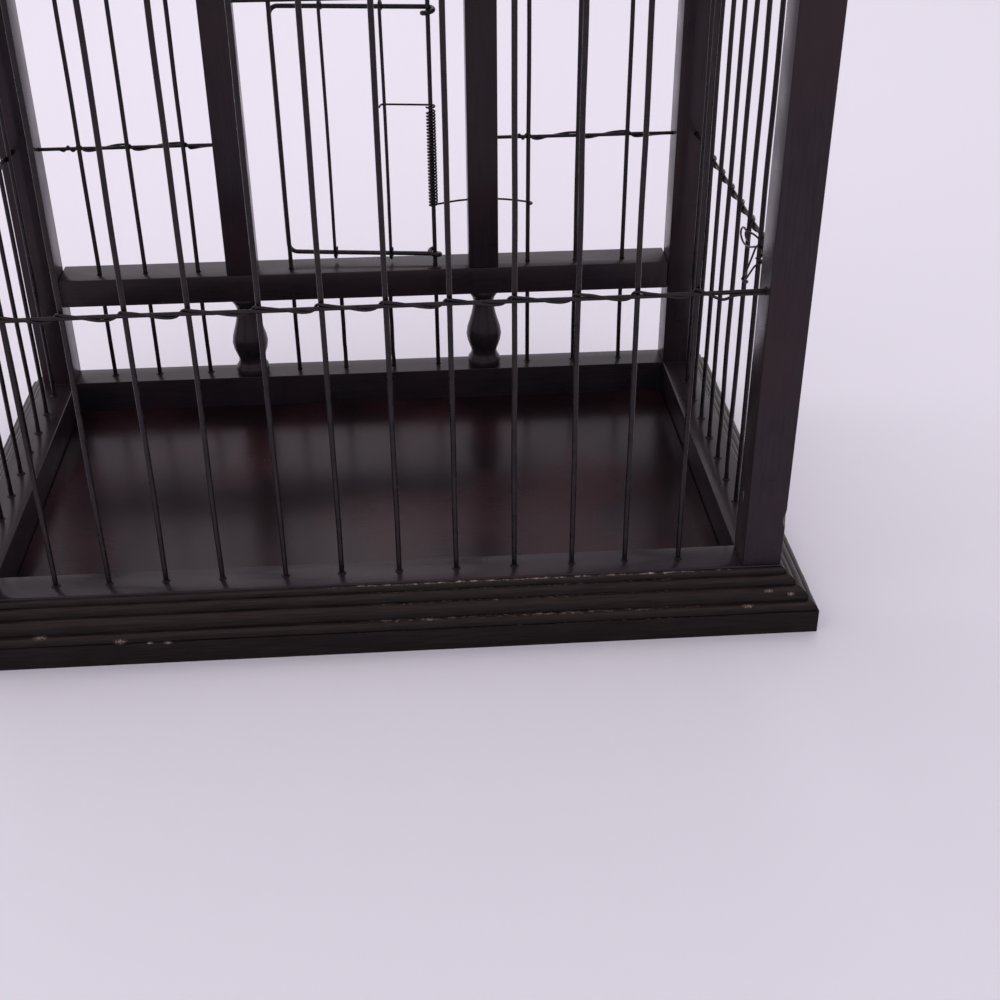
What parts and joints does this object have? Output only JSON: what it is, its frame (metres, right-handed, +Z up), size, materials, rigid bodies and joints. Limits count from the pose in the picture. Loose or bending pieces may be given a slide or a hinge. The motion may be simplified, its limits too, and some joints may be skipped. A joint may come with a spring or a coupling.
{
  "type": "bird cage",
  "caption": "Small box-shaped bird cage of dark stained timber and straight wires, on a reeded base moulding, with a sprung wire door over a sill rail and a hanging ring on the roof.",
  "frame": {"origin": "middle of the base moulding's underside, on the surface that the cage stands on", "axes": "+X along the plain long side, to the right seen from that side, +Y towards the side with the door, +Z up"},
  "size_m": [0.26, 0.168, 0.2078],
  "materials": {
    "stained_wood": "dark stained and varnished hardwood, worn along the edges",
    "floor_wood": "stained board with a dull sheen",
    "wire": "tarnished iron wire, nearly black"
  },
  "bodies": {
    "cage": {"base_moulding_plain_side": "stained_wood", "base_moulding_door_side": "stained_wood", "base_moulding_left": "stained_wood", "base_moulding_right": "stained_wood", "floor_board": "floor_wood", "bottom_rail_plain_side": "stained_wood", "bottom_rail_door_side": "stained_wood", "bottom_rail_left": "stained_wood", "bottom_rail_right": "stained_wood", "top_rail_plain_side": "stained_wood", "top_rail_door_side": "stained_wood", "top_rail_left": "stained_wood", "top_rail_right": "stained_wood", "corner_post_plain_left": "stained_wood", "corner_post_plain_right": "stained_wood", "corner_post_door_left": "stained_wood", "corner_post_door_right": "stained_wood", "door_sill_rail": "stained_wood", "door_stile_left": "stained_wood", "door_stile_right": "stained_wood", "sill_spindle_left": "stained_wood", "sill_spindle_right": "stained_wood", "roof_bar": "stained_wood", "plain_wire_01": "wire", "plain_wire_02": "wire", "plain_wire_03": "wire", "plain_wire_04": "wire", "plain_wire_05": "wire", "plain_wire_06": "wire", "plain_wire_07": "wire", "plain_wire_08": "wire", "plain_wire_09": "wire", "plain_wire_10": "wire", "plain_wire_11": "wire", "plain_wire_12": "wire", "cross_wire_plain_side": "wire", "end_grille_left": "wire", "end_grille_right": "wire", "bay_grille_left": "wire", "bay_grille_right": "wire", "under_sill_wire_left": "wire", "under_sill_wire_right": "wire", "latch_wire": "wire", "hinge_wire": "wire", "door_head_grille": "wire", "roof_grille": "wire", "binding_plain_side": "wire", "binding_left": "wire", "binding_right": "wire", "binding_bay_left": "wire", "binding_bay_right": "wire", "door_spring": "wire", "hanging_eye": "wire"},
    "door": {"door_frame": "wire", "door_bar_free_side": "wire", "door_bar_hinge_side": "wire", "door_spring_arm": "wire"},
    "ring": {"hanging_ring": "wire"}
  },
  "joints": [
    {"name": "door_hinge", "type": "hinge", "parent": "cage", "child": "door", "pos_m": [0.02454, 0.06825, 0.06045], "axis": [0, 0, -1], "range_deg": [-7, 100], "stiffness_Nm_per_rad": 0.009},
    {"name": "ring_hinge", "type": "hinge", "parent": "cage", "child": "ring", "pos_m": [0, 0, 0.2037], "axis": [1, 0, 0], "range_deg": [0, 226]}
  ]
}
